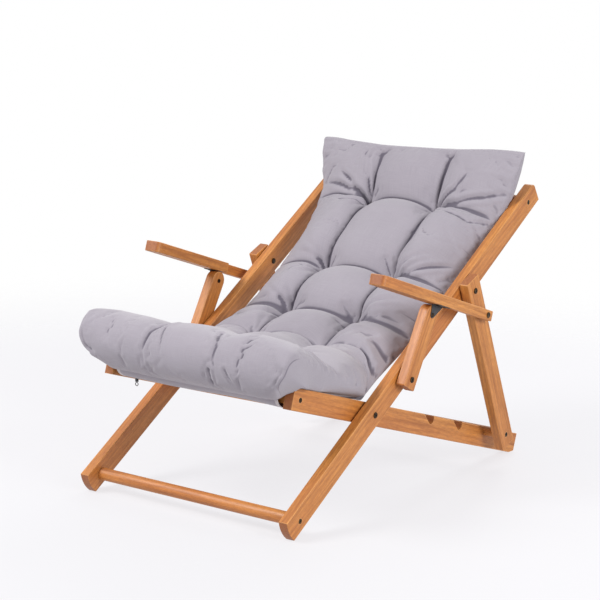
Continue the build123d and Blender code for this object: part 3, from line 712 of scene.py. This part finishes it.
# The painted crease shade counts in full at this depth. The side seams get painted shade up to a station in front.
HOLLOW_STEPS, HOLLOW_DEPTH = 12, 1.9
PAINTED_SEAM_SHADE, SEAM_STATION, SEAM_FADE = 0.8, 6, 40.0
rng = np.random.default_rng(7)
# Each pull: turn from straight up the pad, clockwise in degrees, its length and its depth.
stitch_pulls = (
    (0, 65, 4), (36, 75, 4), (60, 105, 5), (84, 120, 5),
    (112, 95, 5), (142, 65, 4), (-32, 55, 3), (-145, 50, 3),
)
# The larger folds: depth, width, and places on the cloth (across, along), stitch first.
large_folds = (
    (9, 5, ((92, 1000), (146, 1034), (165, 1078))),
    (8, 5, ((100, 1000), (160, 1010), (222, 1034), (272, 1062))),
    (5, 5, ((110, 992), (180, 986), (241, 1003))),
    (6, 5, ((130, 975), (212, 963), (256, 988))),
    (9, 5, ((-92, 1000), (-138, 1014), (-197, 1054))),
    (9, 5, ((-92, 998), (-156, 1014), (-248, 1034))),
    (5, 5, ((-100, 990), (-166, 975), (-233, 994))),
    (5, 4, ((-95, 1010), (-110, 1041), (-123, 1099), (-110, 1140))),
    (5, 4, ((-120, 1048), (-135, 1106), (-126, 1140))),
    (5, 4, ((95, 1010), (90, 1048), (90, 1112), (110, 1140))),
    (8, 5, ((96, 778), (140, 792), (188, 826))),
    (8, 5, ((100, 775), (152, 786), (204, 818), (252, 850))),
    (9, 5, ((-92, 775), (-119, 756), (-174, 752))),
    (6, 5, ((-110, 766), (-155, 732), (-160, 700))),
    (7, 5, ((225, 248), (242, 258), (256, 280), (274, 286), (293, 296), (314, 298))),
    (9, 5, ((205, 545), (244, 544), (280, 552), (296, 560))),
    (7, 5, ((-62, 188), (-86, 152), (-92, 113), (-99, 76))),
    (5, 4, ((-62, 159), (-49, 119), (-43, 88))),
    (7, 5, ((69, 180), (86, 131), (86, 101), (99, 82))),
    (5, 4, ((80, 82), (80, 30))),
    (5, 4, ((121, 88), (138, 57))),
)


def refine(net):
    """The net with a new point halfway between all neighbours, along both ways."""
    for _ in range(2):
        flat = net.reshape(len(net), -1)
        knots = np.arange(len(net), dtype=float)
        finer = smooth_through(knots, flat, np.arange(2 * len(net) - 1) / 2)
        net = finer.reshape((-1, *net.shape[1:])).swapaxes(0, 1)
    return net


def normals_of(net):
    """Unit normals of a net, pointing out of the pad for the top half."""
    normal = np.cross(np.gradient(net, axis=1), np.gradient(net, axis=0))
    return normal / np.maximum(np.linalg.norm(normal, axis=2, keepdims=True), 1e-9)


def waves(length, wavelength, count):
    """A smooth random line of values from -1 to 1, with bumps about a wavelength apart."""
    knots = np.linspace(0, length, max(4, int(length / wavelength)))
    values = rng.uniform(-1, 1, (len(knots), 1))
    return smooth_through(knots, values, np.linspace(0, length, count))[:, 0]


def groove(gap, power, shoulder, shoulder_place):
    """Height across a fold: a narrow valley between two soft shoulders."""
    hump = shoulder * np.exp(-((gap - shoulder_place) ** 2) / SHOULDER_WIDTH)
    return hump - np.exp(-(gap**power))


def fading(share, start, rise, end, fall):
    """How strong a fold is along its run, from 0 at the stitch to 1 at its end."""
    return np.clip(share + start, 0, 1) ** rise * np.clip(end - share, 0, 1) ** fall


def spoke(x, place, start, end, depth, bend):
    """A short fold from a stitch to another place, wider and softer on its way."""
    way = np.array(end) - np.array(start)
    length = float(np.hypot(*way))
    way = way / length
    dx, dy = x - start[0], place - start[1]
    run = (dx * way[0] + dy * way[1]) / length
    inside = np.clip(run, 0, 1)
    off = dx * way[1] - dy * way[0] + bend * np.sin(inside * pi)
    gap = np.abs(off / (SPOKE_WIDTH * (0.7 + 0.9 * inside)))
    return depth * fading(run, *SPOKE_RUN) * groove(gap, *SPOKE_PROFILE)


def bent_fold(x, place, depth, width, points):
    """A fold along a line through several places, deepest a little way in."""
    points = np.array(points, float)
    lengths = np.hypot(*np.diff(points, axis=0).T)
    runs = np.concatenate([[0.0], np.cumsum(lengths)]) / lengths.sum()
    gap, share = np.full_like(x, np.inf), np.zeros_like(x)
    for start, end, low, high in zip(points, points[1:], runs, runs[1:]):
        way = end - start
        t = np.clip(((x - start[0]) * way[0] + (place - start[1]) * way[1]) / (way @ way), 0, 1)
        away = np.hypot(x - start[0] - t * way[0], place - start[1] - t * way[1])
        share = np.where(away < gap, low + t * (high - low), share)
        gap = np.minimum(gap, away)
    return depth * fading(share, *FOLD_RUN) * groove(gap / width, *FOLD_PROFILE)


def stitch_folds(x, place):
    """The large folds, and the spokes round every stitch."""
    lift = sum(bent_fold(x, place, *row) for row in large_folds)
    for row in row_places:
        for side in (-1, 1):
            for turn, length, depth in stitch_pulls:
                turn = radians(turn + rng.uniform(-SPOKE_TURN, SPOKE_TURN))
                length *= rng.uniform(0.75, 1.25)
                start = (side * STITCH_X, row)
                end = (start[0] + side * length * sin(turn), row + length * cos(turn))
                depth *= rng.uniform(0.6, 1.1)
                lift += spoke(x, place, start, end, depth, rng.uniform(-SPOKE_BEND, SPOKE_BEND))
    return lift


def lumps(x, place):
    """Slow swells of the filling: waves of uneven length in all directions, added up."""
    total = np.zeros_like(x)
    for _ in range(LUMP_WAVES):
        direction = rng.uniform(0, tau)
        across_wave = x * cos(direction) + place * sin(direction)
        wave = across_wave / LUMP_SIZE * rng.uniform(0.6, 1.5)
        total += np.sin(wave * tau + rng.uniform(0, tau))
    return LUMP_HEIGHT * total / 3


def gather(net, wide, place):
    """The top net with its folds and puckers."""
    seam_gap = np.where(wide > 0, wide[:, -1:] - wide, wide - wide[:, :1])
    right, left = (waves(station_knots[-1], PUCKER_SPACING, len(net))[:, None] for _ in range(2))
    pucker = np.where(wide > 0, left, right) * np.exp(-((seam_gap / PUCKER_REACH) ** 2))
    ends = np.minimum(place, station_knots[-1] - place)
    hold = np.clip(seam_gap / FOLD_STOP, 0, 1) * np.clip(ends / END_STOP, 0, 1)
    move = (stitch_folds(wide, place) + lumps(wide, place)) * hold
    move += PUCKER_HEIGHT * pucker * np.clip(seam_gap / PUCKER_STOP, 0, 1)
    return net + normals_of(net) * move[:, :, None]


def hollows(net):
    """How deep each point lies in a crease, 0 to 1, used as a mask of painted shade: its gap to a smoothed copy of
    the net.
    """
    soft = net.copy()
    for _ in range(HOLLOW_STEPS):
        soft[1:-1] = (soft[:-2] + 2 * soft[1:-1] + soft[2:]) / 4
        soft[:, 1:-1] = (soft[:, :-2] + 2 * soft[:, 1:-1] + soft[:, 2:]) / 4
    depth = np.sum((soft - net) * normals_of(soft), axis=2)
    return np.clip(depth / HOLLOW_DEPTH, 0, 1)


fine_wide = refine(pad_wide[:, :, None])[..., 0]
fine_places = refine(np.repeat(ring_places[:, None, None], TOP_POINTS, axis=1))[..., 0]
pad_top, pad_bottom = refine(pad_top), refine(pad_bottom)
pad_cloth = (refine(pad_cloth[0]), refine(pad_cloth[1]))
pad_top = gather(pad_top, fine_wide, fine_places)
pad_bottom[:, (0, -1)] = pad_top[:, (0, -1)]
print("fine net", pad_top.shape, "folds", len(stitch_pulls) * 2 * len(row_places))

# %% [markdown]
# ## The top edge, and keeping clear of the wood
# The top edge sags between its two ears, a little more on the right. Real filling also
# gives way to wood: where the pad hangs between the main rails its sides are pressed flat
# against them, and where it lies on the racks its underside is flat. The bottoms of the
# creases and the front part of the side seams are marked for the cotton, which darkens them as painted shade.

# %% Shape the top edge and press the pad against the wood
# The space of the wood, in millimetres from the rack pivot along and over each rail.
RAIL_HALF, RAIL_FROM, RAIL_TO = 24.5, -30, 775
RACK_REST, RACK_FROM, RACK_TO, RACK_INNER = 24.1, -262, 40, 215
# Beside a rail the pad keeps this gap, and over it the sides swell out again up to a limit.
SIDE_GAP, SWELL_START, SWELL_LIMIT, FREE_WIDTH = 1.2, 2, 60, 400
SAG_LENGTH = 120.0
# How far the top edge lies under its left ear, across the pad.
edge_places = (-271, -240, -190, -100, -40, 40, 130, 190, 240, 271)
edge_dips = (15, 16, 22, 27, 25, 21, 13, 5, 1, 0)


def sag_top_edge(net, place):
    """Move the points near the top edge down the pad, less and less away from it."""
    share = np.clip((place - station_knots[-1] + SAG_LENGTH) / SAG_LENGTH, 0, 1)
    share = share * share * (3 - 2 * share)
    down = np.interp(net[..., 0], edge_places, edge_dips) * share
    net[..., 1] -= down * cos(main_angle)
    net[..., 2] -= down * sin(main_angle)


def press_clear(net):
    """Push points out of the space of the main rails and the racks."""
    main_reach, main_height = along_rail(net, main_angle)
    rack_reach, rack_height = along_rail(net, rack_angle)
    swell = np.clip(np.abs(main_height) - RAIL_HALF - SWELL_START, 0, SWELL_LIMIT)
    limit = main_inner / MM - SIDE_GAP + swell
    beside = (main_reach > RAIL_FROM) & (main_reach < RAIL_TO)
    limit = np.where(beside, limit, FREE_WIDTH)
    net[..., 0] = np.clip(net[..., 0], -limit, limit)
    over_rack = (rack_reach > RACK_FROM) & (rack_reach < RACK_TO)
    over_rack &= np.abs(net[..., 0]) > RACK_INNER
    lift = np.where(over_rack, np.maximum(0, RACK_REST - rack_height), 0)
    net[..., 1] -= lift * sin(rack_angle)
    net[..., 2] += lift * cos(rack_angle)


for net in (pad_top, pad_bottom):
    sag_top_edge(net, fine_places)
    press_clear(net)
pad = pad_mesh("tufted_pad", pad_top, pad_bottom, pad_cloth)
crease = np.zeros(len(pad.data.vertices), np.float32)
# The crease attribute marks painted shade: crease bottoms, and the side seams towards the front.
top_crease_shade = hollows(pad_top)
front_seam = np.clip((station_knots[SEAM_STATION] - fine_places[:, :1]) / SEAM_FADE, 0, 1)
top_crease_shade[:, (0, -1)] = PAINTED_SEAM_SHADE * front_seam
crease[: fine_wide.size] = top_crease_shade.ravel()
pad.data.attributes.new("crease", "FLOAT", "POINT").data.foreach_set("value", crease)
print("pad triangles", 2 * len(pad.data.polygons))

# %% [markdown]
# ## The sleeves
# The pad hangs by two sleeves of the same cotton: one round the top dowel, one round the
# front bar. Each is a strip sewn to the underside along both edges. It is drawn as a
# profile, a slack loop round the dowel, swept from side to side with a little waviness,
# and given a thickness by a Solidify modifier. The cut ends have a pale turned hem.

# %% Sleeves
SLEEVE_SHEET = 1.4 * MM
SLEEVE_STEPS, LOOP_STEPS, SIDE_STEPS = 110, 40, 8
HEM_WIDTH = 9.0
# How long the waves of a sleeve are and how far they swing, inwards and downwards.
SWAY_LENGTH, SWAY = 34.0, 2.4
DROP_LENGTH, DROP = 60.0, 2.0
SEWN_REACH = 0.92


def loop_profile(front, rear, low, top):
    """Side view of a slack loop round a dowel at the origin, drawn in where it is sewn on."""
    turn = np.linspace(pi, 2 * pi, LOOP_STEPS)
    reach = np.where(turn < 1.5 * pi, front, rear)
    curve = np.stack([reach * np.cos(turn), low * np.sin(turn)], 1)
    front_edge, rear_edge = (-front * SEWN_REACH, top), (rear * SEWN_REACH, top)
    front_side = np.linspace(front_edge, (-front, 0), SIDE_STEPS, endpoint=False)
    rear_side = np.linspace((rear, 0), rear_edge, SIDE_STEPS + 1)[1:]
    return np.concatenate([front_side, curve, rear_side])


def bake_modifiers(piece):
    """Turn a piece with its modifiers into a plain mesh."""
    graph = bpy.context.evaluated_depsgraph_get()
    baked = bpy.data.meshes.new_from_object(piece.evaluated_get(graph), depsgraph=graph)
    piece.modifiers.clear()
    old = piece.data
    piece.data = baked
    bpy.data.meshes.remove(old)
    piece.data.name = piece.name
    return piece


def sleeve_piece(name, centre, angle, half_length, front, rear, low, top):
    """A fabric sleeve with a wavy surface and paler hems at both ends."""
    profile = loop_profile(front, rear, low, top)
    xs = np.linspace(-half_length, half_length, SLEEVE_STEPS)
    run = np.concatenate([[0.0], np.cumsum(np.hypot(*np.diff(profile, axis=0).T))])
    sway = waves(2 * half_length, SWAY_LENGTH, SLEEVE_STEPS) * SWAY
    drop = waves(2 * half_length, DROP_LENGTH, SLEEVE_STEPS) * DROP
    loose = np.sin(np.linspace(0, pi, len(profile)))
    reach, height = profile.T
    along = reach - np.abs(sway)[:, None] * loose * (reach < 0)
    up = height + drop[:, None] * loose * (height < 0)
    x, cloth_run = (np.broadcast_to(line, up.shape) for line in (xs[:, None], run))
    y = centre.y / MM + along * cos(angle) - up * sin(angle)
    z = centre.z / MM + along * sin(angle) + up * cos(angle)
    points = np.stack([x, y, z], axis=-1).reshape(-1, 3) * MM
    cloth = np.stack([x, cloth_run], axis=-1).reshape(-1, 2) * MM
    faces = quads(np.arange(up.size).reshape(up.shape)).reshape(-1, 4)
    piece = cotton_piece(name, points.tolist(), faces.tolist(), cloth[faces])
    piece.data.materials.append(hem_cotton)
    for face in piece.data.polygons:
        if abs(face.center.x) / MM > half_length - HEM_WIDTH:
            face.material_index = 1
    sheet = piece.modifiers.new("sheet", "SOLIDIFY")
    sheet.thickness, sheet.offset = SLEEVE_SHEET, 0.0
    return bake_modifiers(piece)


front_half, top_half = (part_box(node)[1].x / MM for node in ("front_sleeve", "top_sleeve"))
front_sleeve = sleeve_piece("front_bar_sleeve", middle("front_bar"), rack_angle, front_half,
                            front=31.0, rear=15.0, low=20.0, top=22.0)
top_sleeve = sleeve_piece("top_dowel_sleeve", middle("top_dowel"), main_angle, top_half,
                          front=18.2, rear=18.2, low=18.2, top=16.0)
print("sleeve lengths", round(2 * front_half), round(2 * top_half), "mm")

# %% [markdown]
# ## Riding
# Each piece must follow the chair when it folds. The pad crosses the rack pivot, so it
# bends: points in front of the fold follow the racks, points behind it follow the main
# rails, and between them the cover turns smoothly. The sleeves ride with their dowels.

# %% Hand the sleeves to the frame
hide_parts("cushion_back", "cushion_seat")
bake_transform(pad)
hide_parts("front_sleeve")
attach(front_sleeve, "rack_frame")
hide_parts("top_sleeve")
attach(top_sleeve, "main_frame")

# %% [markdown]
# ## Floor, light and camera
# The chair stands in a plain white studio. The floor fades into the white behind it, and
# most of its white is a glow of its own, so shadows stay pale on it. A large soft lamp above
# on the left lights the pad, a weaker one on the right opens the shadows, a third stands
# behind, and the world adds an even fill. The camera has a long lens, a little above the
# seat, turned so that the near armrest leads into the picture.

# %% Floor
FLOOR_RADIUS = 6.0
FLOOR_FADE_START, FLOOR_FADE_END = 1.2, 2.6
FLOOR_TONE, FLOOR_GLOW = (0.14, 0.14, 0.143, 1.0), (0.98, 0.97, 1.0, 1.0)
GLOW_STRENGTH = 0.73


def studio_floor():
    """A round white floor that thins out to nothing at its rim."""
    bpy.ops.mesh.primitive_circle_add(vertices=64, radius=FLOOR_RADIUS, fill_type="NGON")
    floor = bpy.context.object
    floor.name = "studio_floor"
    kit = Kit(bpy.data.materials.new("studio_white"))
    place = kit.node("ShaderNodeTexCoord").outputs["Object"]
    away = kit.node("ShaderNodeVectorMath", {0: place}, operation="LENGTH").outputs["Value"]
    ends = {"Value": away, "From Min": FLOOR_FADE_START, "From Max": FLOOR_FADE_END}
    fade = kit.node("ShaderNodeMapRange", ends, interpolation_type="SMOOTHSTEP")
    clear = kit.node("ShaderNodeBsdfTransparent")
    kit.finish(Base_Color=FLOOR_TONE, Roughness=0.7, Specular_IOR_Level=0.1,
                  Emission_Color=FLOOR_GLOW, Emission_Strength=GLOW_STRENGTH)
    parts = {0: fade.outputs[0], 1: kit.shader.outputs[0], 2: clear.outputs[0]}
    both = kit.node("ShaderNodeMixShader", parts)
    kit.feed(kit.tree.nodes["Material Output"].inputs["Surface"], both.outputs[0])
    floor.data.materials.append(kit.owner)


studio_floor()
print("floor radius", FLOOR_RADIUS)

# %% Light
WORLD_FILL = 0.5
LAMP_TARGET = Vector((0, 0, 0.35))
# Each lamp: its name, its place and its size in metres, and its power in watts.
lamp_table = (
    ("key", (-1.8, -2.5, 2.9), 1.8, 136.0),
    ("side", (3.4, -0.6, 1.8), 1.6, 84.0),
    ("back", (-0.6, 3.4, 2.6), 2.0, 60.0),
)


def studio_light():
    """A world that shows white but lights with less, and soft lamps that look at the seat."""
    kit = Kit(bpy.data.worlds.new("studio"), "Background")
    scene.world = kit.owner
    rays = kit.node("ShaderNodeLightPath").outputs
    seen = kit.math("MAXIMUM", rays["Is Camera Ray"], rays["Is Glossy Ray"])
    seen = kit.math("MAXIMUM", seen, rays["Is Transmission Ray"])
    level = kit.spread(seen, 0.0, 1.0, WORLD_FILL)
    kit.finish(Color=(1.0, 1.0, 1.0, 1.0), Strength=level)
    for name, place, size, power in lamp_table:
        lamp = bpy.data.lights.new(name, "AREA")
        lamp.shape, lamp.size, lamp.energy = "DISK", size, power
        holder = bpy.data.objects.new(name, lamp)
        holder.location = place
        sight = LAMP_TARGET - Vector(place)
        holder.rotation_euler = sight.to_track_quat("-Z", "Y").to_euler()
        scene.collection.objects.link(holder)


studio_light()
print("lamps", [row[0] for row in lamp_table])

# %% Camera
LOOKED_AT = Vector((0.0, -0.06606, 0.40061))
CAMERA_DISTANCE = 4.37134
CAMERA_AZIMUTH, CAMERA_ELEVATION, CAMERA_ROLL = 36.1893, 10.6673, 1.4691
CAMERA_LENS, SENSOR_WIDTH, CLIP_END = 120.19, 36.0, 50.0


def photograph_camera():
    """A camera at the photograph's place, turned a little about its own line of sight."""
    lens = bpy.data.cameras.new("photograph")
    lens.lens, lens.sensor_width, lens.clip_end = CAMERA_LENS, SENSOR_WIDTH, CLIP_END
    camera = bpy.data.objects.new("photograph", lens)
    a, e = radians(CAMERA_AZIMUTH), radians(CAMERA_ELEVATION)
    back = Vector((sin(a) * cos(e), -cos(a) * cos(e), sin(e)))
    camera.location = LOOKED_AT + back * CAMERA_DISTANCE
    level = (-back).to_track_quat("-Z", "Y")
    roll = Euler((0, 0, radians(CAMERA_ROLL))).to_quaternion()
    camera.rotation_mode = "QUATERNION"
    camera.rotation_quaternion = level @ roll
    scene.collection.objects.link(camera)
    scene.camera = camera


photograph_camera()
scene.view_settings.view_transform = "Standard"
print("camera lens", CAMERA_LENS, "mm at", round(CAMERA_DISTANCE, 2), "m")
